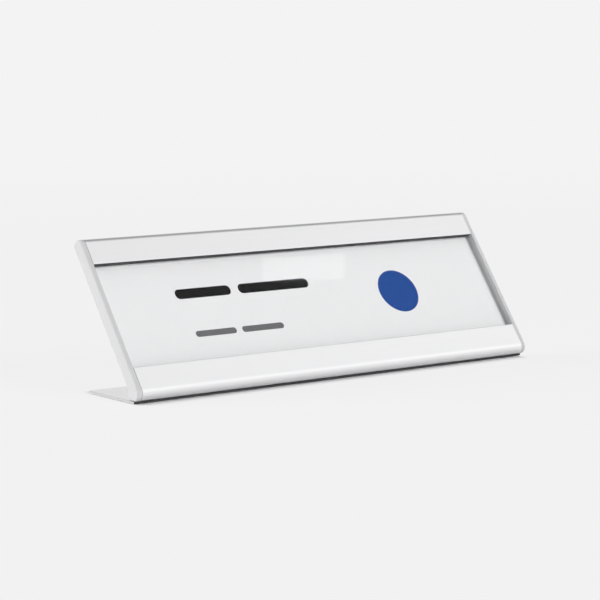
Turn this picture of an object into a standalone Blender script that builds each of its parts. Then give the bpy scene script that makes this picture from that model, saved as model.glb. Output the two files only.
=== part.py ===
"""Desk nameplate holder.

A leaning aluminium channel stands on a flat aluminium foot. Its two lips hold a printed card behind a clear
lens, and a plastic cap closes each end. With the right cap off, the lens and the card slide out that way.

Units are metres, +Z is up, the front faces -Y and the length runs along X. The origin is on the desk, under
the middle of the holder's bounding box.

The panel's own frame has its origin where the face would meet the seat on the foot: X along the length,
Y into the panel (called depth) and Z up the face (called rise).
"""

import math

import bmesh
import bpy
from mathutils import Matrix, Vector

# Card and lens
CARD_LENGTH = 0.2032
CARD_HEIGHT = 0.0508
CARD_THICKNESS = 0.00035
LENS_THICKNESS = 0.0015
LENS_BEVEL = 0.0002

# Play of the card and the lens in the channel's slot
END_PLAY = 0.0003
EDGE_PLAY = 0.00025
FACE_PLAY = 0.0001

# Channel
LEAN = math.radians(36.25)
LIP_THICKNESS = 0.0024
LIP_OVERLAP = 0.00155
LIP_EDGE_RADIUS = 0.0003
BACK_WALL = 0.0014
CHAMBER_WALL = 0.0014
TOP_RAIL_HEIGHT = 0.01265
LOWER_RAIL_HEIGHT = 0.0162
LOWER_CHAMBER_HEIGHT = 0.0027
TOP_FRONT_RADIUS = 0.0026
TOP_BACK_RADIUS = 0.0024
LOWER_FRONT_RADIUS = 0.0032
SEAT_WIDTH = 0.0043
HEEL_RADIUS = 0.0010

# End caps
CAP_THICKNESS = 0.0022
CAP_EDGE_RADIUS = 0.0008
CAP_GAP = 0.0001
PEG_LENGTH = 0.0080
PEG_ROOT = 0.0010
PEG_PLAY = 0.00015
PEG_BEVEL = 0.0003

# Foot plate
FOOT_THICKNESS = 0.0010
FOOT_DEPTH = 0.0337
FOOT_SETBACK = 0.0029
FOOT_CORNER_RADIUS = 0.0010
FOOT_EDGE_RADIUS = 0.00045
SEAT_GAP = 0.0001

# Countersunk screws from the foot into the channel's heel
SCREW_NAMES = ("left", "middle", "right")
SCREW_END_INSET = 0.0292
SCREW_RADIUS = 0.0010
SCREW_HEAD_RADIUS = 0.0018
SCREW_LENGTH = 0.0050
SCREW_SINK = 0.0001
SCREW_TIP_BEVEL = 0.0003
SCREW_PLAY = 0.0001
SCREW_FROM_HEEL = 0.0019
SOCKET_RADIUS = 0.00075
SOCKET_DEPTH = 0.0006

# Anti-slip pads
PAD_RADIUS = 0.0040
PAD_THICKNESS = 0.0002
PAD_GAP = 0.0001
PAD_END_INSET = 0.0120
PAD_SIDE_INSET = 0.0065

# Finish of the meshes
ARC_STEP = math.radians(9)
SMALL_BEVEL_SEGMENTS = 2
CAP_BEVEL_SEGMENTS = 4
ROUND_SIDES = 24
SMOOTH_LIMIT = math.radians(30)
MERGE = 0.000001

# Sizes that follow from the ones above
SLOT_DEPTH = LENS_THICKNESS + CARD_THICKNESS + 3 * FACE_PLAY
PANEL_THICKNESS = LIP_THICKNESS + SLOT_DEPTH + BACK_WALL
WINDOW_LOW = LOWER_RAIL_HEIGHT
WINDOW_HIGH = WINDOW_LOW + CARD_HEIGHT - 2 * LIP_OVERLAP
SLOT_LOW = WINDOW_LOW - LIP_OVERLAP - EDGE_PLAY
SLOT_HIGH = WINDOW_HIGH + LIP_OVERLAP + EDGE_PLAY
FACE_HEIGHT = WINDOW_HIGH + TOP_RAIL_HEIGHT
CHANNEL_LENGTH = CARD_LENGTH + 2 * END_PLAY
OVERALL_LENGTH = CHANNEL_LENGTH + 2 * (CAP_GAP + CAP_THICKNESS)
LOWER_TANGENT = LOWER_FRONT_RADIUS / math.tan((math.pi / 2 - LEAN) / 2)
HEEL_BACK = LOWER_TANGENT + SEAT_WIDTH
FOOT_UNDERSIDE = PAD_THICKNESS + PAD_GAP
FOOT_TOP = FOOT_UNDERSIDE + FOOT_THICKNESS
SEAT_LEVEL = FOOT_TOP + SEAT_GAP
SLOT_BACK = LIP_THICKNESS + SLOT_DEPTH


def panel_point(back, up):
    """Turns a place behind and above the panel's origin, seen from the end, into (depth, rise)."""
    return (
        back * math.cos(LEAN) - up * math.sin(LEAN),
        back * math.sin(LEAN) + up * math.cos(LEAN),
    )


def distance_back(depth, rise):
    """How far behind the panel's origin a point of the panel's section lies, seen from the end."""
    return depth * math.cos(LEAN) + rise * math.sin(LEAN)


def rounded_outline(corners):
    """Turns (x, y, radius) corners into an outline whose corners are arcs."""
    outline = []
    for index, (x, y, radius) in enumerate(corners):
        corner = Vector((x, y))
        before = (Vector(corners[index - 1][:2]) - corner).normalized()
        after = (Vector(corners[(index + 1) % len(corners)][:2]) - corner).normalized()
        if not radius:
            outline.append(corner)
            continue
        half = before.angle(after) / 2
        centre = corner + (before + after).normalized() * (radius / math.sin(half))
        start = corner + before * (radius / math.tan(half)) - centre
        sweep = math.copysign(math.pi - 2 * half, before.cross(after) * -1)
        steps = math.ceil(abs(sweep) / ARC_STEP)
        for step in range(steps + 1):
            outline.append(centre + Matrix.Rotation(sweep * step / steps, 2) @ start)
    return outline


def end_corners():
    """The corners of the cap's outline, which is also the channel's without its window."""
    heel_depth, heel_rise = panel_point(HEEL_BACK, 0)
    heel_top = (HEEL_BACK - PANEL_THICKNESS * math.cos(LEAN)) / math.sin(LEAN)
    return [
        (0, 0, LOWER_FRONT_RADIUS),
        (heel_depth, heel_rise, HEEL_RADIUS),
        (PANEL_THICKNESS, heel_top, HEEL_RADIUS),
        (PANEL_THICKNESS, FACE_HEIGHT, TOP_BACK_RADIUS),
        (0, FACE_HEIGHT, TOP_FRONT_RADIUS),
    ]


def window_corners():
    """The corners of the window and the slot behind it, from the top rail's lip to the lower one's."""
    return [
        (0, WINDOW_HIGH, LIP_EDGE_RADIUS),
        (LIP_THICKNESS, WINDOW_HIGH, 0),
        (LIP_THICKNESS, SLOT_HIGH, 0),
        (SLOT_BACK, SLOT_HIGH, 0),
        (SLOT_BACK, SLOT_LOW, 0),
        (LIP_THICKNESS, SLOT_LOW, 0),
        (LIP_THICKNESS, WINDOW_LOW, 0),
        (0, WINDOW_LOW, LIP_EDGE_RADIUS),
    ]


def chamber_ranges():
    """The (low, high) rises of the hollow chambers that take the caps' pegs."""
    lower_high = SLOT_LOW - CHAMBER_WALL
    return [
        (lower_high - LOWER_CHAMBER_HEIGHT, lower_high),
        (SLOT_HIGH + CHAMBER_WALL, FACE_HEIGHT - CHAMBER_WALL),
    ]


def section_span():
    """How far behind the panel's origin the section's foremost and rearmost points lie."""
    back = [distance_back(*point) for point in rounded_outline(end_corners())]
    return min(back), max(back)


SECTION_FRONT, SECTION_BACK = section_span()
FOOT_FRONT = SECTION_FRONT + FOOT_SETBACK
FOOT_BACK = FOOT_FRONT + FOOT_DEPTH
ORIGIN_BACK = (SECTION_FRONT + max(SECTION_BACK, FOOT_BACK)) / 2


def clear_scene():
    """Removes what the file holds at the start."""
    for obj in list(bpy.data.objects):
        bpy.data.objects.remove(obj)


def new_collection(name):
    """Returns a new collection, linked to the scene."""
    collection = bpy.data.collections.new(name)
    bpy.context.scene.collection.children.link(collection)
    return collection


def linear(grey_or_colour):
    """Turns screen values from 0 to 255 into the linear colour that a shader takes."""
    return [(value / 255) ** 2.2 for value in grey_or_colour] + [1.0]


def new_material(name, colour, roughness, metallic=0.0, transmission=0.0):
    """Returns a Principled material of one colour."""
    material = bpy.data.materials.new(name)
    material.use_nodes = True
    inputs = material.node_tree.nodes["Principled BSDF"].inputs
    inputs["Base Color"].default_value = linear(colour)
    inputs["Roughness"].default_value = roughness
    inputs["Metallic"].default_value = metallic
    inputs["Transmission Weight"].default_value = transmission
    return material


def new_object(name, mesh, collection, material=None):
    """Returns an object of the mesh, smooth except at its sharp edges."""
    mesh.shade_smooth()
    mesh.set_sharp_from_angle(angle=SMOOTH_LIMIT)
    obj = bpy.data.objects.new(name, mesh)
    collection.objects.link(obj)
    if material:
        mesh.materials.append(material)
    return obj


def extruded_mesh(name, outlines, thickness):
    """Returns flat outlines, an outer one and its holes, extruded equally to both sides along Z."""
    curve = bpy.data.curves.new(name, "CURVE")
    curve.dimensions = "2D"
    curve.fill_mode = "BOTH"
    curve.extrude = thickness / 2
    for outline in outlines:
        spline = curve.splines.new("POLY")
        spline.points.add(len(outline) - 1)
        for point, (x, y) in zip(spline.points, outline):
            point.co = (x, y, 0, 1)
        spline.use_cyclic_u = True
    holder = bpy.data.objects.new(name, curve)
    bpy.context.scene.collection.objects.link(holder)
    graph = bpy.context.evaluated_depsgraph_get()
    mesh = bpy.data.meshes.new_from_object(holder.evaluated_get(graph))
    bpy.data.objects.remove(holder)
    bpy.data.curves.remove(curve)
    shape = bmesh.new()
    shape.from_mesh(mesh)
    bmesh.ops.remove_doubles(shape, verts=shape.verts, dist=MERGE)
    bmesh.ops.dissolve_limit(
        shape, angle_limit=math.radians(1), verts=shape.verts, edges=shape.edges
    )
    bmesh.ops.recalc_face_normals(shape, faces=shape.faces)
    shape.to_mesh(mesh)
    shape.free()
    return mesh


def box_mesh(name, length, depth, height):
    """Returns a box centred on its origin."""
    mesh = bpy.data.meshes.new(name)
    shape = bmesh.new()
    bmesh.ops.create_cube(shape, size=1.0)
    bmesh.ops.scale(shape, verts=shape.verts, vec=(length, depth, height))
    shape.to_mesh(mesh)
    shape.free()
    return mesh


def cylinder_mesh(name, radius, height, sides):
    """Returns an upright cylinder centred on its origin."""
    mesh = bpy.data.meshes.new(name)
    shape = bmesh.new()
    bmesh.ops.create_cone(
        shape, cap_ends=True, segments=sides, radius1=radius, radius2=radius, depth=height
    )
    shape.to_mesh(mesh)
    shape.free()
    return mesh


def turned_object(name, profile, collection, material=None):
    """Returns the profile of (radius, height) points, from top to bottom, turned round Z."""
    mesh = bpy.data.meshes.new(name)
    points = [(radius, 0, height) for radius, height in profile]
    mesh.from_pydata(points, [(index, index + 1) for index in range(len(points) - 1)], [])
    obj = new_object(name, mesh, collection, material)
    turn = obj.modifiers.new("Turn", "SCREW")
    turn.steps = turn.render_steps = ROUND_SIDES
    turn.use_merge_vertices = True
    turn.merge_threshold = MERGE
    return obj


def add_bevel(obj, width, segments, limit="ANGLE"):
    """Rounds the object's edges."""
    bevel = obj.modifiers.new("Rounded edges", "BEVEL")
    bevel.width = width
    bevel.segments = segments
    bevel.limit_method = limit
    bevel.use_clamp_overlap = False


def add_boolean(obj, other, operation):
    """Cuts the other object from this one, or joins it on."""
    boolean = obj.modifiers.new(other.name, "BOOLEAN")
    boolean.operation = operation
    boolean.object = other


def make_helper(obj):
    """Hides a shape that only cuts another or is joined to it."""
    obj.hide_render = True
    obj.display_type = "WIRE"


class Holder:
    """The collections, materials and parent of the holder's pieces."""

    def __init__(self):
        self.parts = new_collection("office_nameplate")
        self.cutters = new_collection("cutters")
        self.aluminium = new_material("satin_aluminium", (226, 227, 228), 0.35, metallic=0.9)
        self.cap_plastic = new_material("cap_plastic", (214, 215, 216), 0.45)
        self.clear_acrylic = new_material("clear_acrylic", (250, 250, 250), 0.03, transmission=1.0)
        self.white_card = new_material("white_card", (235, 235, 236), 0.7)
        self.zinc_steel = new_material("zinc_steel", (180, 182, 185), 0.3, metallic=1.0)
        self.soft_pad = new_material("soft_pad", (70, 71, 73), 0.8)
        self.panel = bpy.data.objects.new("panel_lean", None)
        self.panel.location = (0, -ORIGIN_BACK, SEAT_LEVEL)
        self.panel.rotation_euler = (-LEAN, 0, 0)
        self.parts.objects.link(self.panel)

    def lay_on_panel(self, obj, x, depth=0.0, rise=0.0):
        """Places an object in the panel's frame."""
        obj.parent = self.panel
        obj.location = (x, depth, rise)

    def stand_section(self, obj, x):
        """Turns an extruded section so that its X is the depth, its Y the rise and its Z the length."""
        self.lay_on_panel(obj, x)
        obj.rotation_euler = (math.pi / 2, 0, math.pi / 2)


def screw_places():
    """The name and the world X of each screw, evenly spaced between the two near the foot's ends."""
    outermost = OVERALL_LENGTH / 2 - SCREW_END_INSET
    pitch = 2 * outermost / (len(SCREW_NAMES) - 1)
    return [(name, index * pitch - outermost) for index, name in enumerate(SCREW_NAMES)]


def screw_profile(play, head_drop):
    """A countersunk screw, head down: each side grown by the play, and the head's flat run down by a drop."""
    radius = SCREW_RADIUS + play
    head = SCREW_HEAD_RADIUS + play
    top = SCREW_LENGTH + play
    return [
        (0, top),
        (radius - SCREW_TIP_BEVEL, top),
        (radius, top - SCREW_TIP_BEVEL),
        (radius, head - radius),
        (head, 0),
        (head, -head_drop),
        (0, -head_drop),
    ]


def place_screw(obj, x):
    """Stands a screw on its hole's axis, with its head just inside the foot's underside."""
    obj.location = (x, HEEL_BACK - SCREW_FROM_HEEL - ORIGIN_BACK, FOOT_UNDERSIDE + SCREW_SINK)


def make_screw_cutters(holder):
    """The holes that the screws need in the foot and the channel."""
    cutters = []
    for name, x in screw_places():
        profile = screw_profile(SCREW_PLAY, FOOT_THICKNESS)
        cutter = turned_object(f"screw_hole_{name}", profile, holder.cutters)
        place_screw(cutter, x)
        make_helper(cutter)
        cutters.append(cutter)
    return cutters


def make_channel(holder, screw_cutters):
    """The extrusion: rails, lips, back wall, heel and two open-ended chambers."""
    outer = rounded_outline(end_corners() + window_corners())
    chambers = [
        rounded_outline(
            [
                (LIP_THICKNESS, low, 0),
                (SLOT_BACK, low, 0),
                (SLOT_BACK, high, 0),
                (LIP_THICKNESS, high, 0),
            ]
        )
        for low, high in chamber_ranges()
    ]
    mesh = extruded_mesh("frame_channel", [outer] + chambers, CHANNEL_LENGTH)
    channel = new_object("frame_channel", mesh, holder.parts, holder.aluminium)
    holder.stand_section(channel, 0)
    for cutter in screw_cutters:
        add_boolean(channel, cutter, "DIFFERENCE")


def weigh_outer_edges(mesh, side):
    """Marks the rim of the cap's outer face for the Bevel modifier."""
    shape = bmesh.new()
    shape.from_mesh(mesh)
    weight = shape.edges.layers.float.new("bevel_weight_edge")
    for edge in shape.edges:
        outside = all(side * vertex.co.z > CAP_THICKNESS / 2 - MERGE for vertex in edge.verts)
        edge[weight] = float(outside and edge.calc_face_angle(0) > SMOOTH_LIMIT)
    shape.to_mesh(mesh)
    shape.free()


def make_end_cap(holder, name, side):
    """A cap with two pegs. Its origin is in the joint with the channel, on the panel's origin line."""
    mesh = extruded_mesh(name, [rounded_outline(end_corners())], CAP_THICKNESS)
    weigh_outer_edges(mesh, side)
    cap = new_object(name, mesh, holder.parts, holder.cap_plastic)
    inner_face = CHANNEL_LENGTH / 2 + CAP_GAP
    holder.stand_section(cap, side * (inner_face + CAP_THICKNESS / 2))
    add_bevel(cap, CAP_EDGE_RADIUS, CAP_BEVEL_SEGMENTS, "WEIGHT")
    for position, (low, high) in zip(("lower", "upper"), chamber_ranges()):
        peg_mesh = box_mesh(
            f"{name}_{position}_peg",
            PEG_LENGTH + PEG_ROOT,
            SLOT_DEPTH - 2 * PEG_PLAY,
            high - low - 2 * PEG_PLAY,
        )
        peg = new_object(peg_mesh.name, peg_mesh, holder.cutters)
        reach = inner_face + (PEG_ROOT - PEG_LENGTH) / 2
        holder.lay_on_panel(peg, side * reach, LIP_THICKNESS + SLOT_DEPTH / 2, (low + high) / 2)
        add_bevel(peg, PEG_BEVEL, 1)
        make_helper(peg)
        add_boolean(cap, peg, "UNION")


def make_lens(holder):
    """The clear sheet right behind the lips."""
    mesh = box_mesh("clear_lens", CARD_LENGTH, LENS_THICKNESS, CARD_HEIGHT)
    lens = new_object("clear_lens", mesh, holder.parts, holder.clear_acrylic)
    depth = LIP_THICKNESS + FACE_PLAY + LENS_THICKNESS / 2
    holder.lay_on_panel(lens, 0, depth, (SLOT_LOW + SLOT_HIGH) / 2)
    add_bevel(lens, LENS_BEVEL, 1)


def make_card(holder):
    """The printed card between the lens and the back wall."""
    mesh = box_mesh("insert_card", CARD_LENGTH, CARD_THICKNESS, CARD_HEIGHT)
    card = new_object("insert_card", mesh, holder.parts, holder.white_card)
    depth = SLOT_BACK - FACE_PLAY - CARD_THICKNESS / 2
    holder.lay_on_panel(card, 0, depth, (SLOT_LOW + SLOT_HIGH) / 2)


def make_foot(holder, screw_cutters):
    """The flat plate under the channel and the caps, which runs back under the leaning panel."""
    half = OVERALL_LENGTH / 2
    front = FOOT_FRONT - ORIGIN_BACK
    back = FOOT_BACK - ORIGIN_BACK
    corners = [(-half, front), (half, front), (half, back), (-half, back)]
    outline = rounded_outline([(x, y, FOOT_CORNER_RADIUS) for x, y in corners])
    mesh = extruded_mesh("foot_plate", [outline], FOOT_THICKNESS)
    foot = new_object("foot_plate", mesh, holder.parts, holder.aluminium)
    foot.location = (0, 0, FOOT_UNDERSIDE + FOOT_THICKNESS / 2)
    add_bevel(foot, FOOT_EDGE_RADIUS, SMALL_BEVEL_SEGMENTS)
    for cutter in screw_cutters:
        add_boolean(foot, cutter, "DIFFERENCE")


def make_screws(holder):
    """The countersunk screws, with a hexagon socket each."""
    for name, x in screw_places():
        screw = turned_object(f"foot_screw_{name}", screw_profile(0, 0), holder.parts, holder.zinc_steel)
        place_screw(screw, x)
        socket_mesh = cylinder_mesh(f"socket_{name}", SOCKET_RADIUS, 2 * SOCKET_DEPTH, 6)
        socket = new_object(socket_mesh.name, socket_mesh, holder.cutters)
        place_screw(socket, x)
        make_helper(socket)
        add_boolean(screw, socket, "DIFFERENCE")


def make_pads(holder):
    """The four anti-slip pads near the foot's corners."""
    mesh = cylinder_mesh("foot_pad", PAD_RADIUS, PAD_THICKNESS, ROUND_SIDES)
    along = OVERALL_LENGTH / 2 - PAD_END_INSET
    rows = {
        "front": FOOT_FRONT + PAD_SIDE_INSET - ORIGIN_BACK,
        "back": FOOT_BACK - PAD_SIDE_INSET - ORIGIN_BACK,
    }
    for row, y in rows.items():
        for side_name, side in (("left", -1), ("right", 1)):
            pad = new_object(f"foot_pad_{row}_{side_name}", mesh, holder.parts)
            pad.location = (side * along, y, PAD_THICKNESS / 2)
    mesh.materials.append(holder.soft_pad)


def main():
    """Builds the holder."""
    clear_scene()
    holder = Holder()
    screw_cutters = make_screw_cutters(holder)
    make_channel(holder, screw_cutters)
    make_end_cap(holder, "end_cap_left", -1)
    make_end_cap(holder, "end_cap_right", 1)
    make_lens(holder)
    make_card(holder)
    make_foot(holder, screw_cutters)
    make_screws(holder)
    make_pads(holder)


main()
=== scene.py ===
"""Desk nameplate holder, dressed for its portrait.

A leaning satin aluminium channel stands on a flat aluminium foot. It holds a printed card behind a clear
lens, and a moulded cap closes each end. Every piece replaces the plain CAD solid of the same part and rides
on its body.

Units are metres, in the CAD's own frame: +Z is up, the front faces -Y and the length runs along X. The
panel's frame has its origin where the face would meet the foot's seat: X along the length, Y into the panel
(called depth) and Z up the face (called rise).
"""

import logging
import math
from abc import ABC, abstractmethod
from collections.abc import Callable, Iterable, Iterator, Sequence
from contextlib import contextmanager
from dataclasses import dataclass
from enum import Enum
from typing import Any, ClassVar

import bmesh
import bpy
from bmesh.types import BMEdge, BMVert, BMesh
from bpy.types import ColorRamp, ID, Material, Mesh, MeshPolygon, Node, NodeSocket, NodeTree, Object
from mathutils import Matrix, Quaternion, Vector


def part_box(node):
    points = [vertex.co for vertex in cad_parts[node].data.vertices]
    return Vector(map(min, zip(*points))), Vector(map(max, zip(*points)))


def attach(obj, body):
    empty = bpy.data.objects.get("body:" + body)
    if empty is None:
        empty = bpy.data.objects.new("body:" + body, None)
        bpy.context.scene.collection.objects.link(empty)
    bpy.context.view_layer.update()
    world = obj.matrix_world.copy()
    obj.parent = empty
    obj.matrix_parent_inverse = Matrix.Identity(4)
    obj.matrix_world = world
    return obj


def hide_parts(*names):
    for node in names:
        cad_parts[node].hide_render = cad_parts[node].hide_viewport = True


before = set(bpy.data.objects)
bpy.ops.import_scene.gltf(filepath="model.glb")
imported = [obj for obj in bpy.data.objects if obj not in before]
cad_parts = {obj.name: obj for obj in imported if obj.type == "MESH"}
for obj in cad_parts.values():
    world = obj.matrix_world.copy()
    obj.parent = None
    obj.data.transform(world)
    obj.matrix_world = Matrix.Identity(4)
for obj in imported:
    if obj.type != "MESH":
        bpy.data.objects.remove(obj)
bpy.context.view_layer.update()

LOG = logging.getLogger("nameplate")
MM = 0.001
# Points this near are one
MERGE = 0.000001
# How far a piece's box may stray from that of its CAD nodes
FIT_LIMIT = 0.00005
# Edges that turn by more stay sharp
SMOOTH_LIMIT = math.radians(30)
FLAT_FACE_WEIGHT = 100
ARC_STEP = math.radians(4)
FEWEST_ARC_STEPS = 4
# The share of a face's normal along an axis above which it faces that way
FACING = 0.5

Point2 = tuple[float, float]
Corner = tuple[float, float, float]
Colour = tuple[float, float, float]


def linear(value: float) -> float:
    """The linear value from 0 to 1 of a screen value from 0 to 255, by the sRGB curve."""
    share = value / 255
    return share / 12.92 if share <= 0.04045 else ((share + 0.055) / 1.055) ** 2.4


def paint(tone: Colour, level: float = 1.0) -> tuple[float, float, float, float]:
    """A shader's colour from screen values, with its linear red, green and blue times a level."""
    red, green, blue = (linear(value) * level for value in tone)
    return (red, green, blue, 1.0)


# Node trees


class Wire:
    """A value in a node tree. Python's operators join it to others through Math nodes."""

    def __init__(self, bench: "NodeBench", socket: NodeSocket) -> None:
        """Wraps a socket of the bench's tree."""
        self.bench = bench
        self.socket = socket

    def _maths(self, operation: str, *terms: Any) -> "Wire":
        """Adds a Math node with its inputs in order and returns its result."""
        feeds = dict(enumerate(terms))
        return self.bench.wire(self.bench.node("ShaderNodeMath", {"operation": operation}, feeds))

    def __add__(self, other: Any) -> "Wire":
        """This plus the other."""
        return self._maths("ADD", self, other)

    def __radd__(self, other: Any) -> "Wire":
        """The other plus this."""
        return self._maths("ADD", other, self)

    def __sub__(self, other: Any) -> "Wire":
        """This minus the other."""
        return self._maths("SUBTRACT", self, other)

    def __rsub__(self, other: Any) -> "Wire":
        """The other minus this."""
        return self._maths("SUBTRACT", other, self)

    def __mul__(self, other: Any) -> "Wire":
        """This times the other."""
        return self._maths("MULTIPLY", self, other)

    def __rmul__(self, other: Any) -> "Wire":
        """The other times this."""
        return self._maths("MULTIPLY", other, self)

    def __neg__(self) -> "Wire":
        """This with its sign turned round."""
        return self._maths("MULTIPLY", self, -1.0)

    def larger(self, other: Any) -> "Wire":
        """The larger of this and the other."""
        return self._maths("MAXIMUM", self, other)

    def within(self, low: float, high: float) -> "Wire":
        """This, held between two limits."""
        return self._maths("MINIMUM", self.larger(low), high)

    def size(self) -> "Wire":
        """The size of this without its sign."""
        return self._maths("ABSOLUTE", self)

    def root(self) -> "Wire":
        """The square root of this."""
        return self._maths("SQRT", self)


class NodeBench:
    """Adds nodes to one tree and links them."""

    def __init__(self, tree: NodeTree) -> None:
        """Works on a tree that is cleared first."""
        self.tree = tree
        tree.nodes.clear()

    def node(
        self, kind: str, settings: dict[str, Any] | None = None, feeds: dict[Any, Any] | None = None
    ) -> Node:
        """Adds a node, sets it and feeds its inputs.

        Args:
            kind: The node's type.
            settings: Its properties, set first. "stops" are a ramp's (place, level) pairs.
            feeds: What goes into its inputs, by their names or numbers.

        Returns:
            The node.
        """
        made = self.tree.nodes.new(kind)
        for name, value in (settings or {}).items():
            if name == "stops":
                self._set_stops(made.color_ramp, value)
            else:
                setattr(made, name, value)
        for key, value in (feeds or {}).items():
            self.feed(made.inputs[key], value)
        return made

    def feed(self, entry: NodeSocket, value: Any) -> None:
        """Links or sets one input.

        Args:
            entry: The input.
            value: A wire, a node for its first output, a list of these, or a plain value.
        """
        for source in value if isinstance(value, list) else [value]:
            if isinstance(source, Wire):
                self.tree.links.new(source.socket, entry)
            elif isinstance(source, Node):
                self.tree.links.new(source.outputs[0], entry)
            else:
                entry.default_value = source

    @staticmethod
    def _set_stops(ramp: ColorRamp, stops: Sequence[Point2]) -> None:
        """Sets a ramp's stops.

        Args:
            ramp: The ramp.
            stops: (place, grey level) pairs in order.
        """
        while len(ramp.elements) < len(stops):
            ramp.elements.new(1.0)
        for element, (place, level) in zip(ramp.elements, stops):
            element.position = place
            element.color = (level, level, level, 1.0)

    def wire(self, node: Node, output: str | int = 0) -> Wire:
        """Wraps a node's output."""
        return Wire(self, node.outputs[output])

    def parts(self, vector: Wire) -> tuple[Wire, Wire, Wire]:
        """The X, Y and Z of a vector."""
        split = self.node("ShaderNodeSeparateXYZ", {}, {0: vector})
        return self.wire(split, 0), self.wire(split, 1), self.wire(split, 2)

    def smooth_step(self, value: Wire, start: Any, end: Any) -> Wire:
        """A soft rise from 0, where the value is at the start, to 1, where it is at the end."""
        feeds = {"Value": value, "From Min": start, "From Max": end}
        return self.wire(self.node("ShaderNodeMapRange", {"interpolation_type": "SMOOTHSTEP"}, feeds))

    def ray_is(self, *kinds: str) -> Wire:
        """Whether the ray is of one of the kinds, such as "Camera".

        Args:
            *kinds: The kinds.

        Returns:
            1 or 0.
        """
        path = self.node("ShaderNodeLightPath")
        first, *others = (self.wire(path, f"Is {kind} Ray") for kind in kinds)
        for other in others:
            first = first.larger(other)
        return first


class SurfaceBench(NodeBench):
    """The nodes of one material, with the patterns that this holder's finishes share."""

    def __init__(self, name: str) -> None:
        """Makes the material.

        Args:
            name: The material's name.
        """
        self.material = bpy.data.materials.new(name)
        self.material.use_nodes = True
        super().__init__(self.material.node_tree)
        self.place = self.wire(self.node("ShaderNodeTexCoord"), "Object")

    def pattern(self, grain: "Grain", lean: float = 0.0) -> Wire:
        """Noise with cells of a grain's size.

        Args:
            grain: The grain.
            lean: How far the cells lean back about X.

        Returns:
            Noise from 0 to 1, through the grain's grey ramp if it has one.
        """
        cell = (grain.length, grain.width, grain.width)
        feeds = {"Vector": self.place, "Rotation": (-lean, 0, 0), "Scale": cell}
        mapping = self.node("ShaderNodeMapping", {"vector_type": "TEXTURE"}, feeds)
        feeds = {"Vector": mapping, "Scale": 1.0, "Detail": grain.detail}
        noise = self.wire(self.node("ShaderNodeTexNoise", {}, feeds))
        if not grain.stops:
            return noise
        return self.wire(self.node("ShaderNodeValToRGB", {"stops": grain.stops}, {0: noise}))

    def blend(self, share: Any, first: Any, second: Any) -> Wire:
        """Mixes two colours: a Mix node takes them as inputs 6 and 7 and gives output 2."""
        feeds = {0: share, 6: first, 7: second}
        return self.wire(self.node("ShaderNodeMix", {"data_type": "RGBA"}, feeds), 2)

    def bump(self, height: Wire, distance: float) -> Wire:
        """A normal from a height of 0 to 1, where 1 stands for this distance in metres."""
        return self.wire(self.node("ShaderNodeBump", {}, {"Height": height, "Distance": distance}))

    def principled(self, feeds: dict[str, Any]) -> Node:
        """Adds the Principled shader with its inputs."""
        return self.node("ShaderNodeBsdfPrincipled", {}, feeds)

    def mixed(self, share: Wire, first: Node, second: Node) -> Node:
        """Mixes two shaders, with this share of the second."""
        return self.node("ShaderNodeMixShader", {}, {0: share, 1: first, 2: second})

    def output(self, shader: Node) -> Material:
        """Ends the material with its shader and returns it."""
        self.node("ShaderNodeOutputMaterial", {}, {"Surface": shader})
        return self.material


# Finishes


@dataclass(frozen=True)
class Grain:
    """A noise pattern. Its cells' length lies along X and its width across, in metres."""

    length: float
    width: float
    detail: float = 2.0
    stops: tuple[Point2, ...] = ()


@dataclass(frozen=True)
class Finish:
    """A material whose tone, roughness and relief follow a fine and a broad grain.

    The tone runs from its low lightness to its high one, or to a film's colour. The roughness strays by its
    spread either way. The relief is a height in metres. The shares say how much of each pattern is the fine
    grain: the rest is the broad grain or, in the relief, the pits. The constants go straight to the shader.
    """

    constants: ClassVar[dict[str, float]] = {}

    name: str
    tone: Colour
    roughness: float
    spread: float
    lightness: Point2
    relief: float
    fine: Grain
    broad: Grain | None
    fine_in_tone: float
    fine_in_gloss: float = 1.0
    fine_in_relief: float = 1.0
    pits: Grain | None = None
    film: Colour | None = None
    lean: float = 0.0

    def make(self) -> Material:
        """Makes the material.

        Returns:
            The material.
        """
        bench = SurfaceBench(self.name)
        fine = bench.pattern(self.fine, self.lean)
        broad = bench.pattern(self.broad, self.lean) if self.broad else fine
        pits = bench.pattern(self.pits) if self.pits else fine
        low, high = self.lightness
        shade = self._weighed(self.fine_in_tone, fine, broad)
        gloss = self._weighed(self.fine_in_gloss, fine, broad)
        height = self._weighed(self.fine_in_relief, fine, pits)
        feeds = {
            "Base Color": bench.blend(shade, paint(self.tone, low), paint(self.film or self.tone, high)),
            "Roughness": self.roughness - self.spread + 2 * self.spread * gloss,
            "Normal": bench.bump(height, self.relief),
        }
        return bench.output(bench.principled(feeds | self.constants))

    @staticmethod
    def _weighed(share: float, first: "Wire", second: "Wire") -> "Wire":
        """Two patterns in one.

        Args:
            share: How much of the first, from 0 to 1.
            first: The first pattern.
            second: The second pattern.

        Returns:
            The pattern.
        """
        if share in (0.0, 1.0):
            return first if share else second
        return share * first + (1.0 - share) * second


@dataclass(frozen=True)
class SatinAluminium(Finish):
    """Clear-anodised aluminium with fine streaks, broad bands and pits along its length."""

    constants = {"Metallic": 0.92}

    tone: Colour = (243, 243, 244)
    roughness: float = 0.36
    spread: float = 0.07
    lightness: Point2 = (0.955, 1.02)
    relief: float = 0.0000035
    fine: Grain = Grain(0.030, 0.00016)
    broad: Grain = Grain(0.25, 0.0035)
    fine_in_tone: float = 0.65
    fine_in_gloss: float = 5 / 7
    fine_in_relief: float = 0.8
    pits: Grain = Grain(0.00022, 0.00022, 1.0)


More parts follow.
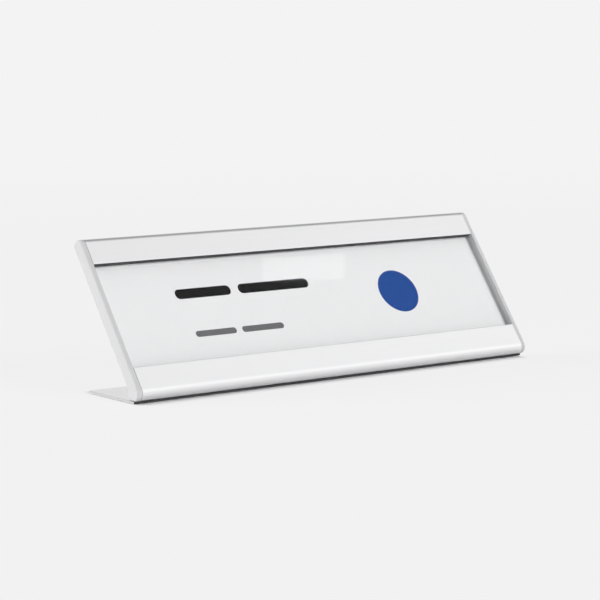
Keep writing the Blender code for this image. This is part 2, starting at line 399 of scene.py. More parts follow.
@dataclass(frozen=True)
class DullAluminium(Finish):
    """Dark, matt aluminium that paints in shade: scored along its length and cloudy."""

    constants = {"Metallic": 0.3}

    tone: Colour = (74, 74, 76)
    roughness: float = 0.7
    spread: float = 0.06
    lightness: Point2 = (0.8, 1.2)
    relief: float = 0.000006
    fine: Grain = Grain(0.020, 0.00012)
    broad: Grain = Grain(0.006, 0.002)
    fine_in_tone: float = 0.6


@dataclass(frozen=True)
class MouldedPlastic(Finish):
    """Light grey plastic with the fine texture of a spark-eroded mould, a little mottled."""

    tone: Colour = (211, 211, 212)
    roughness: float = 0.48
    spread: float = 0.06
    lightness: Point2 = (0.965, 1.03)
    relief: float = 0.000010
    fine: Grain = Grain(0.00030, 0.00030, 3.0)
    broad: Grain = Grain(0.009, 0.009)
    fine_in_tone: float = 0.3


@dataclass(frozen=True)
class SawnAcrylic(Finish):
    """The sawn and scraped edge of an acrylic sheet, grey beside its faces; the grey also paints in shade at
    the window's ends.
    """

    tone: Colour = (206, 209, 210)
    roughness: float = 0.4
    spread: float = 0.08
    lightness: Point2 = (0.92, 1.08)
    relief: float = 0.000008
    fine: Grain = Grain(0.006, 0.00015)
    broad: Grain | None = None
    fine_in_tone: float = 1.0


@dataclass(frozen=True)
class CardStock(Finish):
    """Matt white card with a trace of fibre and cloud."""

    tone: Colour = (245, 245, 246)
    roughness: float = 0.78
    spread: float = 0.05
    lightness: Point2 = (0.975, 1.015)
    relief: float = 0.000012
    fine: Grain = Grain(0.00105, 0.00035, 3.0)
    broad: Grain = Grain(0.006, 0.006)
    fine_in_tone: float = 0.5


@dataclass(frozen=True)
class PrintInk(Finish):
    """Printed ink on the card: a little uneven, smoother than the card, and with hardly a gleam."""

    constants = {"Specular IOR Level": 0.03}

    roughness: float = 0.5
    spread: float = 0.08
    lightness: Point2 = (0.88, 1.12)
    relief: float = 0.000006
    fine: Grain = Grain(0.00025, 0.00025)
    broad: Grain = Grain(0.004, 0.004)
    fine_in_tone: float = 0.5


@dataclass(frozen=True)
class ZincSteel(Finish):
    """Bright zinc plate with clouds of passivated film."""

    constants = {"Metallic": 1.0}

    tone: Colour = (196, 199, 203)
    roughness: float = 0.33
    spread: float = 0.07
    lightness: Point2 = (1.0, 1.0)
    relief: float = 0.000002
    fine: Grain = Grain(0.00012, 0.00012)
    broad: Grain = Grain(0.0018, 0.0018, 3.0, ((0.35, 0.0), (0.7, 1.0)))
    fine_in_tone: float = 0.0
    film: Colour = (214, 209, 196)


@dataclass(frozen=True)
class SoftPad(Finish):
    """Dark grey polyurethane film that keeps the foot from sliding, with a trace of dust."""

    tone: Colour = (66, 67, 69)
    roughness: float = 0.82
    spread: float = 0.06
    lightness: Point2 = (1.0, 1.5)
    relief: float = 0.00001
    fine: Grain = Grain(0.00018, 0.00018, 3.0)
    broad: Grain = Grain(0.0025, 0.0025, 2.0, ((0.45, 0.0), (0.8, 1.0)))
    fine_in_tone: float = 0.0


@dataclass(frozen=True)
class ClearAcrylic:
    """Cast acrylic: clear, polished and very slightly wavy. Lamps shine through it on the card.

    Its index of refraction is well below plain acrylic's, which holds its glare down as a coating would.
    """

    name: str
    tint: tuple[float, float, float, float] = (0.995, 0.998, 0.997, 1.0)
    index_of_refraction: float = 1.16
    roughness: float = 0.015
    waves: Grain = Grain(0.034, 0.034, 0.0)
    wave_height: float = 0.00002

    def make(self) -> Material:
        """Makes the material.

        Returns:
            The material.
        """
        bench = SurfaceBench(self.name)
        shown = bench.principled(
            {
                "Base Color": self.tint,
                "Roughness": self.roughness,
                "IOR": self.index_of_refraction,
                "Transmission Weight": 1.0,
                "Normal": bench.bump(bench.pattern(self.waves), self.wave_height),
            }
        )
        open_air = bench.node("ShaderNodeBsdfTransparent")
        for kind in ("Shadow", "Diffuse"):
            shown = bench.mixed(bench.ray_is(kind), shown, open_air)
        return bench.output(shown)


# Mesh code


def rounded_outline(corners: Sequence[Corner]) -> list[Point2]:
    """Turns corners into an outline whose corners are arcs.

    Args:
        corners: (x, y, radius) of each corner, in order round the outline.

    Returns:
        The outline's points.
    """
    outline: list[Point2] = []
    for index, (x, y, radius) in enumerate(corners):
        corner = Vector((x, y))
        before = (Vector(corners[index - 1][:2]) - corner).normalized()
        after = (Vector(corners[(index + 1) % len(corners)][:2]) - corner).normalized()
        if not radius:
            outline.append(tuple(corner))
            continue
        half = before.angle(after) / 2
        centre = corner + (before + after).normalized() * (radius / math.sin(half))
        start = corner + before * (radius / math.tan(half)) - centre
        sweep = math.copysign(math.pi - 2 * half, -before.cross(after))
        steps = max(FEWEST_ARC_STEPS, math.ceil(abs(sweep) / ARC_STEP))
        for step in range(steps + 1):
            outline.append(tuple(centre + Matrix.Rotation(sweep * step / steps, 2) @ start))
    return outline


def rectangle(low: Point2, high: Point2, radius: float = 0.0) -> list[Point2]:
    """The outline of a rectangle from its lowest to its highest corner, with rounded corners."""
    (x0, y0), (x1, y1) = low, high
    return rounded_outline([(x0, y0, radius), (x1, y0, radius), (x1, y1, radius), (x0, y1, radius)])


def circle(centre: Point2, radius: float, sides: int) -> list[Point2]:
    """The outline of a circle with this many points."""
    turns = (2 * math.pi * index / sides for index in range(sides))
    return [(centre[0] + radius * math.cos(turn), centre[1] + radius * math.sin(turn)) for turn in turns]


@contextmanager
def shaping(mesh: Mesh) -> Iterator[BMesh]:
    """Opens a mesh for shaping, and writes the result back to it.

    Args:
        mesh: The mesh, which is changed.

    Yields:
        Its editable form.
    """
    shape = bmesh.new()
    shape.from_mesh(mesh)
    yield shape
    shape.to_mesh(mesh)
    shape.free()


def wire_mesh(name: str, outlines: Sequence[tuple[list[Point2], int]]) -> Mesh:
    """A mesh of closed outlines without faces.

    Args:
        name: The mesh's name.
        outlines: Each outline with a whole number that its points carry as the attribute "ink".

    Returns:
        The mesh.
    """
    points: list[Corner] = []
    edges: list[tuple[int, int]] = []
    inks: list[int] = []
    for outline, ink in outlines:
        first, count = len(points), len(outline)
        points += [(x, y, 0.0) for x, y in outline]
        edges += [(first + index, first + (index + 1) % count) for index in range(count)]
        inks += [ink] * count
    mesh = bpy.data.meshes.new(name)
    mesh.from_pydata(points, edges, [])
    mesh.attributes.new("ink", "INT", "POINT").data.foreach_set("value", inks)
    return mesh


def turned_mesh(name: str, profile: Sequence[Point2], sides: int) -> Mesh:
    """A profile turned round Z into a closed shell.

    Args:
        name: The mesh's name.
        profile: (radius, height) points, which start and end on the axis.
        sides: How many sides the round has.

    Returns:
        The mesh.
    """
    mesh = bpy.data.meshes.new(name)
    with shaping(mesh) as shape:
        rings: list[list[BMVert]] = []
        for radius, height in profile:
            places = circle((0.0, 0.0), radius, sides) if radius > 0 else [(0.0, 0.0)]
            rings.append([shape.verts.new((x, y, height)) for x, y in places])
        for upper, lower in zip(rings, rings[1:]):
            for index in range(sides):
                after = (index + 1) % sides
                corners = [upper[index % len(upper)], lower[index % len(lower)]]
                corners += [lower[after % len(lower)], upper[after % len(upper)]]
                shape.faces.new(list(dict.fromkeys(corners)))
        bmesh.ops.recalc_face_normals(shape, faces=shape.faces)
    return mesh


def round_edges(shape: BMesh, edges: Sequence[BMEdge], width: float, steps: int) -> None:
    """Rounds some edges of a shape, each to this width with this many faces."""
    bmesh.ops.bevel(shape, geom=edges, offset=width, segments=steps, profile=0.5, affect="EDGES")


def box_mesh(name: str, low: Corner, high: Corner, rounding: float, steps: int) -> Mesh:
    """A box with rounded edges.

    Args:
        name: The mesh's name.
        low: Its lowest corner.
        high: Its highest corner.
        rounding: The width of its rounded edges.
        steps: How many faces each rounded edge has.

    Returns:
        The mesh.
    """
    mesh = bpy.data.meshes.new(name)
    with shaping(mesh) as shape:
        bmesh.ops.create_cube(shape, size=1.0)
        bmesh.ops.scale(shape, verts=shape.verts, vec=Vector(high) - Vector(low))
        bmesh.ops.translate(shape, verts=shape.verts, vec=(Vector(low) + Vector(high)) / 2)
        round_edges(shape, shape.edges[:], rounding, steps)
    return mesh


def cleaned(mesh: Mesh) -> Mesh:
    """Merges a shell's doubles and points its faces outwards.

    Args:
        mesh: The mesh, which is changed.

    Returns:
        The same mesh.
    """
    with shaping(mesh) as shape:
        bmesh.ops.remove_doubles(shape, verts=shape.verts, dist=MERGE)
        bmesh.ops.recalc_face_normals(shape, faces=shape.faces)
    return mesh


def round_rim(mesh: Mesh, height: float, width: float, steps: int) -> None:
    """Rounds the sharp edges that lie at one height of a mesh.

    Args:
        mesh: The mesh, which is changed.
        height: The height of the rim, along Z.
        width: The width of the rounded edge.
        steps: How many faces it has.
    """
    with shaping(mesh) as shape:
        rim = [
            edge
            for edge in shape.edges
            if all(abs(vertex.co.z - height) < MERGE for vertex in edge.verts)
            and edge.calc_face_angle(0.0) > SMOOTH_LIMIT
        ]
        round_edges(shape, rim, width, steps)


def linked_object(name: str, data: ID) -> Object:
    """Puts an object at the origin of the scene.

    Args:
        name: The object's name.
        data: The mesh, lamp or camera.

    Returns:
        The object.
    """
    obj = bpy.data.objects.new(name, data)
    bpy.context.scene.collection.objects.link(obj)
    return obj


def evaluated_mesh(obj: Object) -> Mesh:
    """A plain mesh of the object with its modifiers.

    Args:
        obj: The object, which is removed.

    Returns:
        The mesh.
    """
    graph = bpy.context.evaluated_depsgraph_get()
    mesh = bpy.data.meshes.new_from_object(obj.evaluated_get(graph))
    bpy.data.objects.remove(obj)
    return mesh


def carved(mesh: Mesh, tools: Iterable[Mesh], operation: str = "DIFFERENCE") -> Mesh:
    """Cuts shapes from a mesh, or joins them on.

    Args:
        mesh: The mesh.
        tools: The shapes.
        operation: The Boolean's operation.

    Returns:
        A new mesh, all of the first one's finish.
    """
    finish = next(material for material in mesh.materials if material)
    stock = linked_object(mesh.name, mesh)
    helpers = [linked_object(tool.name, tool) for tool in tools]
    for helper in helpers:
        boolean = stock.modifiers.new(helper.name, "BOOLEAN")
        boolean.solver = "EXACT"
        boolean.operation = operation
        boolean.object = helper
    result = evaluated_mesh(stock)
    for helper in helpers:
        bpy.data.objects.remove(helper)
    result.materials.clear()
    result.materials.append(finish)
    return cleaned(result)


def softened(mesh: Mesh) -> Mesh:
    """Shades a mesh smooth but for its sharp edges, with its flat faces kept flat.

    Args:
        mesh: The mesh.

    Returns:
        A new mesh with its own corner normals.
    """
    mesh.shade_smooth()
    mesh.set_sharp_from_angle(angle=SMOOTH_LIMIT)
    obj = linked_object(mesh.name, mesh)
    weighted = obj.modifiers.new("Flat faces stay flat", "WEIGHTED_NORMAL")
    weighted.keep_sharp = True
    weighted.weight = FLAT_FACE_WEIGHT
    return evaluated_mesh(obj)


def give_finish(mesh: Mesh, finish: Material, wanted: Callable[[MeshPolygon], bool]) -> None:
    """Adds a finish to a mesh and gives it to some faces.

    Args:
        mesh: The mesh, which is changed.
        finish: The finish.
        wanted: Whether a face gets it.
    """
    mesh.materials.append(finish)
    for face in mesh.polygons:
        if wanted(face):
            face.material_index = len(mesh.materials) - 1


def cad_box_of(nodes: Sequence[str]) -> tuple[Vector, Vector]:
    """The box round some CAD nodes.

    Args:
        nodes: Their names.

    Returns:
        Its lowest and highest corners.
    """
    lows, highs = zip(*(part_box(node) for node in nodes))
    low = Vector([min(corner[axis] for corner in lows) for axis in range(3)])
    high = Vector([max(corner[axis] for corner in highs) for axis in range(3)])
    return low, high


# Geometry Nodes


class ShapeTree(ABC):
    """A Geometry Nodes tree with named inputs, run on a host mesh to give a plain mesh."""

    name: ClassVar[str]
    inputs: ClassVar[dict[str, str]]

    def __init__(self) -> None:
        """Builds the tree."""
        self.tree = bpy.data.node_groups.new(self.name, "GeometryNodeTree")
        self.bench = NodeBench(self.tree)
        interface = self.tree.interface
        interface.new_socket("Geometry", in_out="INPUT", socket_type="NodeSocketGeometry")
        self.identifiers = {
            label: interface.new_socket(label, in_out="INPUT", socket_type=kind).identifier
            for label, kind in self.inputs.items()
        }
        interface.new_socket("Geometry", in_out="OUTPUT", socket_type="NodeSocketGeometry")
        self.entry = self.bench.node("NodeGroupInput")
        self.bench.node("NodeGroupOutput", {}, {0: self.build()})

    @abstractmethod
    def build(self) -> Wire:
        """Adds the tree's nodes and returns its geometry."""

    def given(self, label: str) -> Wire:
        """One of the tree's inputs."""
        return self.bench.wire(self.entry, label)

    def step(self, kind: str, feeds: dict[Any, Any], settings: dict[str, Any] | None = None) -> Wire:
        """Adds a node, whose type comes without its leading words, and returns its first output."""
        return self.bench.wire(self.bench.node("GeometryNode" + kind, settings, feeds))

    def upright(self, height: Wire) -> Wire:
        """A vector along Z of this height."""
        return self.bench.wire(self.bench.node("ShaderNodeCombineXYZ", {}, {2: height}))

    def filled(self, outlines: Wire) -> Wire:
        """The faces inside outlines, holes and all."""
        curves = self.step("MeshToCurve", {0: outlines})
        return self.step("FillCurve", {0: curves}, {"mode": "NGONS"})

    def finished(self, geometry: Wire) -> Wire:
        """A geometry made plain, with the tree's finish."""
        plain = self.step("RealizeInstances", {0: geometry})
        return self.step("SetMaterial", {"Geometry": plain, "Material": self.given("Finish")})

    def repeated(self, points: Wire) -> Wire:
        """The host at each of the points, with the tree's finish."""
        copies = {"Points": points, "Instance": self.given("Geometry")}
        return self.finished(self.step("InstanceOnPoints", copies))

    def run(self, host: Mesh, **values: Any) -> Mesh:
        """Runs the tree.

        Args:
            host: The mesh that goes in.
            **values: The inputs by name.

        Returns:
            The plain mesh that comes out.
        """
        obj = linked_object(host.name, host)
        modifier = obj.modifiers.new(self.name, "NODES")
        modifier.node_group = self.tree
        for label, identifier in self.identifiers.items():
            modifier[identifier] = values[label]
        mesh = evaluated_mesh(obj)
        mesh.name = host.name
        return cleaned(mesh)


class ExtrusionTree(ShapeTree):
    """Fills flat outlines, holes and all, and extrudes them along Z."""

    name = "extruded_section"
    inputs = {"Start": "NodeSocketFloat", "Length": "NodeSocketFloat", "Finish": "NodeSocketMaterial"}

    def build(self) -> Wire:
        """Adds the tree's nodes.

        Returns:
            The extruded shell.
        """
        face = self.filled(self.given("Geometry"))
        up = self.upright(self.given("Length"))
        walls = self.step("ExtrudeMesh", {"Mesh": face, "Offset": up, "Individual": False})
        bottom = self.step("FlipFaces", {0: face})
        shell = self.step("JoinGeometry", {0: [walls, bottom]})
        joined = self.step("MergeByDistance", {"Geometry": shell, "Distance": MERGE})
        lift = self.upright(self.given("Start"))
        return self.finished(self.step("Transform", {"Geometry": joined, "Translation": lift}))


class RowTree(ShapeTree):
    """Repeats the host along a line."""

    name = "row_of_fasteners"
    inputs = {
        "Count": "NodeSocketInt",
        "First": "NodeSocketVector",
        "Step": "NodeSocketVector",
        "Finish": "NodeSocketMaterial",
    }

    def build(self) -> Wire:
        """Adds the tree's nodes.

        Returns:
            The row.
        """
        places = {
            "Count": self.given("Count"),
            "Start Location": self.given("First"),
            "Offset": self.given("Step"),
        }
        return self.repeated(self.step("MeshLine", places, {"mode": "OFFSET"}))


class CornersTree(ShapeTree):
    """Repeats the host at the four corners of a rectangle."""

    name = "pad_at_each_corner"
    inputs = {
        "Length": "NodeSocketFloat",
        "Depth": "NodeSocketFloat",
        "Centre": "NodeSocketVector",
        "Finish": "NodeSocketMaterial",
    }

    def build(self) -> Wire:
        """Adds the tree's nodes.

        Returns:
            The four copies.
        """
        size = {"Size X": self.given("Length"), "Size Y": self.given("Depth")}
        grid = self.step("MeshGrid", size | {"Vertices X": 2, "Vertices Y": 2})
        placed = self.step("Transform", {"Geometry": grid, "Translation": self.given("Centre")})
        return self.repeated(placed)


class Ink(Enum):
    """What a patch of the card's face carries."""

    BARE = 0
    BLACK = 1
    GREY = 2
    BLUE = 3

    @property
    def label(self) -> str:
        """The ink's input of the printed card's tree."""
        return self.name.title()


class PrintedCardTree(ShapeTree):
    """Turns the card's border and its printed patches into one closed sheet with a material for each."""

    name = "printed_card"
    inputs = {"Thickness": "NodeSocketFloat"} | {ink.label: "NodeSocketMaterial" for ink in Ink}

    def _carries(self, attribute: str, ink: Ink) -> Wire:
        """Whether a whole-number attribute is this ink's number.

        Args:
            attribute: The attribute's name.
            ink: The ink.

        Returns:
            Whether it is.
        """
        kind = {"data_type": "INT"}
        number = self.step("InputNamedAttribute", {"Name": attribute}, kind)
        settings = kind | {"operation": "EQUAL"}
        return self.bench.wire(self.bench.node("FunctionNodeCompare", settings, {2: number, 3: ink.value}))

    def _patch(self, outlines: Wire, ink: Ink) -> Wire:
        """Fills outlines and marks their faces with what they carry."""
        mark = {"Geometry": self.filled(outlines), "Name": "print", "Value": ink.value}
        return self.step("StoreNamedAttribute", mark, {"data_type": "INT", "domain": "FACE"})

    def build(self) -> Wire:
        """Adds the tree's nodes.

        Returns:
            The card.
        """
        host = self.given("Geometry")
        picked = {
            ink: self.step(
                "SeparateGeometry",
                {"Geometry": host, "Selection": self._carries("ink", ink)},
                {"domain": "POINT"},
            )
            for ink in Ink
        }
        front = [self._patch(host, Ink.BARE)]
        front += [self._patch(picked[ink], ink) for ink in Ink if ink is not Ink.BARE]
        border = self._patch(picked[Ink.BARE], Ink.BARE)
        down = self.upright(-self.given("Thickness"))
        back = self.step("ExtrudeMesh", {"Mesh": border, "Offset": down, "Individual": False})
        shell = self.step("JoinGeometry", {0: [*front, self.step("FlipFaces", {0: back})]})
        card = self.step("RealizeInstances", {0: shell})
        for ink in Ink:
            feeds = {"Geometry": card, "Selection": self._carries("print", ink)}
            card = self.step("SetMaterial", feeds | {"Material": self.given(ink.label)})
        return card


# The holder


class Side(Enum):
    """An end of the holder."""

    LEFT = -1
    RIGHT = 1

    @property
    def label(self) -> str:
        """The end's word in the names of pieces, bodies and CAD nodes."""
        return self.name.lower()


@dataclass(frozen=True)
class PanelSection:
    """The section that the channel and its caps share, and where it stands."""

    origin_back: float
    seat_level: float
    lean: float = math.radians(36.25)
    lip_thickness: float = 0.0024
    lip_overlap: float = 0.00155
    lip_edge_radius: float = 0.0003
    slot_depth: float = 0.00215
    edge_play: float = 0.00025
    back_wall: float = 0.0014
    chamber_wall: float = 0.0014
    lower_chamber_height: float = 0.0027
    top_rail_height: float = 0.01265
    lower_rail_height: float = 0.0162
    card_height: float = 0.0508
    top_front_radius: float = 0.0026
    top_back_radius: float = 0.0024
    lower_front_radius: float = 0.0032
    seat_width: float = 0.0043
    heel_radius: float = 0.0010

    @classmethod
    def from_frame(cls) -> "PanelSection":
        """Finds where the CAD channel stands.

        Returns:
            The section there.
        """
        low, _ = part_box("frame_channel")
        plain = cls(0.0, 0.0)
        return cls(plain.lower_tangent - plain.lower_front_radius - low.y, low.z)

    @property
    def lower_tangent(self) -> float:
        """How far from the panel's origin the lower rail's rounding starts."""
        return self.lower_front_radius / math.tan((math.pi / 2 - self.lean) / 2)

    @property
    def thickness(self) -> float:
        """The panel's whole thickness."""
        return self.slot_back + self.back_wall

    @property
    def slot_back(self) -> float:
        """The depth of the slot's back."""
        return self.lip_thickness + self.slot_depth

    @property
    def window(self) -> Point2:
        """The (low, high) rise of the window."""
        low = self.lower_rail_height
        return low, low + self.card_height - 2 * self.lip_overlap

    @property
    def slot(self) -> Point2:
        """The slot behind the lips.

        Returns:
            Its (low, high) rise.
        """
        low, high = self.window
        spread = self.lip_overlap + self.edge_play
        return low - spread, high + spread

    @property
    def face_height(self) -> float:
        """The height of the whole face."""
        return self.window[1] + self.top_rail_height

    @property
    def heel_back(self) -> float:
        """How far behind the panel's origin the heel ends."""
        return self.lower_tangent + self.seat_width

    @property
    def chambers(self) -> list[Point2]:
        """The hollow chambers that take the caps' pegs.

        Returns:
            Their (low, high) rises.
        """
        slot_low, slot_high = self.slot
        lower_high = slot_low - self.chamber_wall
        return [
            (lower_high - self.lower_chamber_height, lower_high),
            (slot_high + self.chamber_wall, self.face_height - self.chamber_wall),
        ]

    @property
    def placement(self) -> Matrix:
        """Takes a point of the panel's frame, (X, depth, rise), to the world."""
        move = Matrix.Translation((0, -self.origin_back, self.seat_level))
        return move @ Matrix.Rotation(-self.lean, 4, "X")

    @property
    def section_placement(self) -> Matrix:
        """Takes a section's point, (depth, rise, X), to the world."""
        turn = Matrix(((0, 0, 1, 0), (1, 0, 0, 0), (0, 1, 0, 0), (0, 0, 0, 1)))
        return self.placement @ turn

    def sheet_placement(self, depth: float) -> Matrix:
        """Takes (X, rise, height off a sheet at this depth) to the world."""
        return self.placement @ Matrix.Translation((0, depth, 0)) @ Matrix.Rotation(math.pi / 2, 4, "X")

    def end_corners(self) -> list[Corner]:
        """The corners of the cap's outline, which is also the channel's without its window.

        Returns:
            (depth, rise, radius) of each.
        """
        heel_depth = self.heel_back * math.cos(self.lean)
        heel_rise = self.heel_back * math.sin(self.lean)
        heel_top = (self.heel_back - self.thickness * math.cos(self.lean)) / math.sin(self.lean)
        return [
            (0, 0, self.lower_front_radius),
            (heel_depth, heel_rise, self.heel_radius),
            (self.thickness, heel_top, self.heel_radius),
            (self.thickness, self.face_height, self.top_back_radius),
            (0, self.face_height, self.top_front_radius),
        ]

    def window_corners(self) -> list[Corner]:
        """The corners of the window and the slot behind it, from the top rail's lip to the lower one's.

        Returns:
            (depth, rise, radius) of each.
        """
        low, high = self.window
        slot_low, slot_high = self.slot
        return [
            (0, high, self.lip_edge_radius),
            (self.lip_thickness, high, 0),
            (self.lip_thickness, slot_high, 0),
            (self.slot_back, slot_high, 0),
            (self.slot_back, slot_low, 0),
            (self.lip_thickness, slot_low, 0),
            (self.lip_thickness, low, 0),
            (0, low, self.lip_edge_radius),
        ]


class Workshop:
    """Extrudes sections, and finishes pieces: binds them to the CAD model and keeps count of them."""

    def __init__(self) -> None:
        """Starts with no pieces."""
        self.extrusion = ExtrusionTree()
        self.made: list[Object] = []

    def extrude(
        self, name: str, outlines: Sequence[list[Point2]], start: float, length: float, finish: Material
    ) -> Mesh:
        """Extrudes a section, given by its outline and those of its holes, along Z."""
        host = wire_mesh(name, [(outline, Ink.BARE.value) for outline in outlines])
        return self.extrusion.run(host, Start=start, Length=length, Finish=finish)

    def deliver(self, name: str, mesh: Mesh, body: str, slot: str, nodes: Sequence[str]) -> None:
        """Makes a piece of a finished mesh that has its place in it.

        Args:
            name: The piece's name.
            mesh: Its mesh, with its materials.
            body: The CAD body that it rides on.
            slot: The record's material slot. It is not used.
            nodes: The CAD nodes that it stands for.
        """
        mesh = softened(mesh)
        mesh.name = name
        piece = linked_object(name, mesh)
        self._compare(piece, nodes)
        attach(piece, body)
        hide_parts(*nodes)
        self.made.append(piece)
        LOG.info("%s: %d faces, rides on %s, stands for %s", name, len(mesh.polygons), body, ", ".join(nodes))

    @staticmethod
    def _compare(piece: Object, nodes: Sequence[str]) -> None:
        """Stops the script where a piece's box departs from that of its CAD nodes.

        Args:
            piece: The piece.
            nodes: The CAD nodes that it stands for.
        """
        corners = [vertex.co for vertex in piece.data.vertices]
        cad_low, cad_high = cad_box_of(nodes)
        for axis, letter in enumerate("XYZ"):
            low = min(corner[axis] for corner in corners) - cad_low[axis]
            high = max(corner[axis] for corner in corners) - cad_high[axis]
            if max(abs(low), abs(high)) > FIT_LIMIT:
                raise ValueError(
                    f"{piece.name} departs from its CAD solid along {letter}: "
                    f"{low / MM:.3f} mm at its low end, {high / MM:.3f} mm at its high end"
                )


@dataclass
class Part:
    """A part of the holder, which the workshop makes."""

    section: PanelSection
    shop: Workshop


@dataclass
class Channel(Part):
    """The aluminium extrusion: rails, lips, back wall, heel and two open-ended chambers.

    Over the bright share of its edge's rounding, the top lip keeps the finish of the face; past it, shade is
    painted dark.
    """

    bright_share: float = 0.7

    def make(self, holes: Mesh) -> None:
        """Builds and dresses the channel.

        Args:
            holes: The shapes of the screws' holes.
        """
        section = self.section
        outlines = [rounded_outline(section.end_corners() + section.window_corners())]
        outlines += [
            rectangle((section.lip_thickness, low), (section.slot_back, high))
            for low, high in section.chambers
        ]
        low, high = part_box("frame_channel")
        length = high.x - low.x
        finish = SatinAluminium("satin_aluminium_rail", lean=section.lean)
        mesh = self.shop.extrude("channel_section", outlines, -length / 2, length, finish.make())
        mesh.transform(section.section_placement)
        mesh = carved(mesh, [holes])
        shade_finish = DullAluminium("dull_aluminium_slot", lean=section.lean)
        sawn = SatinAluminium(
            "sawn_aluminium_end",
            tone=(196, 196, 198),
            roughness=0.5,
            fine=Grain(0.030, 0.0004),
            lean=section.lean,
        )
        # painted shade: the top lip's underside and the slot's walls are made dark to stand in for the slot's
        # shade
        give_finish(mesh, shade_finish.make(), self._is_dull)
        give_finish(mesh, sawn.make(), lambda face: abs(face.normal.x) > FACING)
        self.shop.deliver("rail_channel", mesh, "holder", "satin_aluminium", ["frame_channel"])

    def _is_dull(self, face: MeshPolygon) -> bool:
        """Whether a face is on the top lip's underside or on a wall of the slot, where shade is painted.

        Args:
            face: The face, in the world's frame.

        Returns:
            Whether it is.
        """
        section = self.section
        _, depth, rise = section.placement.inverted() @ face.center
        low, high = section.slot
        bright = section.lip_edge_radius * self.bright_share
        under_lip = rise > section.window[1] - MERGE and bright < depth
        in_slot = section.lip_thickness - MERGE < depth < section.slot_back - MERGE
        inside = depth < section.slot_back and low - MERGE < rise < high + MERGE
        return inside and (under_lip or in_slot)


@dataclass
class EndCap(Part):
    """A moulded cap with two pegs that push into the channel's chambers."""

    side: Side
    finish: Material
    # painted light: a lighter copy of the cap's plastic on the inner faces, set for how the recess wall is
    # lit
    inner_finish: Material
    thickness: float = 0.0022
    outer_round: float = 0.0008
    outer_steps: int = 6
    inner_round: float = 0.00012
    inner_steps: int = 2
    peg_length: float = 0.0080
    peg_root: float = 0.0010
    peg_play: float = 0.00015
    peg_round: float = 0.0003
    peg_steps: int = 2

    @property
    def node(self) -> str:
        """The CAD node that the cap stands for."""
        return f"end_cap_{self.side.label}"

    @property
    def outside(self) -> float:
        """Where along X the cap's outer face lies."""
        low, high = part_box(self.node)
        return high.x if self.side is Side.RIGHT else low.x

    @property
    def inside(self) -> float:
        """Where along X the cap's inner face lies."""
        return self.outside - self.side.value * self.thickness

    def _plate(self) -> Mesh:
        """The cap's plate, with a well rounded outer rim.

        Returns:
            Its mesh, in the section's frame.
        """
        outline = rounded_outline(self.section.end_corners())
        start = min(self.inside, self.outside)
        mesh = self.shop.extrude(f"{self.node}_outline", [outline], start, self.thickness, self.finish)
        round_rim(mesh, self.outside, self.outer_round, self.outer_steps)
        round_rim(mesh, self.inside, self.inner_round, self.inner_steps)
        return mesh

    def _peg(self, name: str, chamber: Point2) -> Mesh:
        """One peg, in the section's frame.

        Args:
            name: Its name.
            chamber: The (low, high) rise of its chamber.

        Returns:
            Its mesh.
        """
        section, side = self.section, self.side.value
        start, end = sorted((self.inside + side * self.peg_root, self.inside - side * self.peg_length))
        low = (section.lip_thickness + self.peg_play, chamber[0] + self.peg_play, start)
        high = (section.slot_back - self.peg_play, chamber[1] - self.peg_play, end)
        return box_mesh(name, low, high, self.peg_round, self.peg_steps)

    def make(self) -> None:
        """Builds and dresses the cap."""
        pegs = [
            self._peg(f"{self.node}_peg_{index}", chamber)
            for index, chamber in enumerate(self.section.chambers)
        ]
        mesh = carved(self._plate(), pegs, "UNION")
        inside, side = self.inside, self.side.value
        rim = inside + side * self.inner_round / 2
        # painted light: the inner faces take the lighter copy of the cap's plastic
        give_finish(mesh, self.inner_finish, lambda face: (face.center.z - rim) * side < 0)
        mesh.transform(self.section.section_placement)
        label = self.side.label
        self.shop.deliver(f"moulded_cap_{label}", mesh, f"{label}_cap", "cap_plastic", [self.node])


@dataclass(frozen=True)
class PrintedLine:
    """A line of print as plain rounded bars in one ink."""

    ink: Ink
    rise: float
    height: float
    spans: tuple[Point2, ...]
    rounding: float = 0.48

    def patches(self) -> list[tuple[list[Point2], int]]:
        """The line's bars.

        Returns:
            Each bar's outline with its ink's number.
        """
        low, high = self.rise - self.height / 2, self.rise + self.height / 2
        radius = self.height * self.rounding
        bars = (rectangle((left, low), (right, high), radius) for left, right in self.spans)
        return [(bar, self.ink.value) for bar in bars]


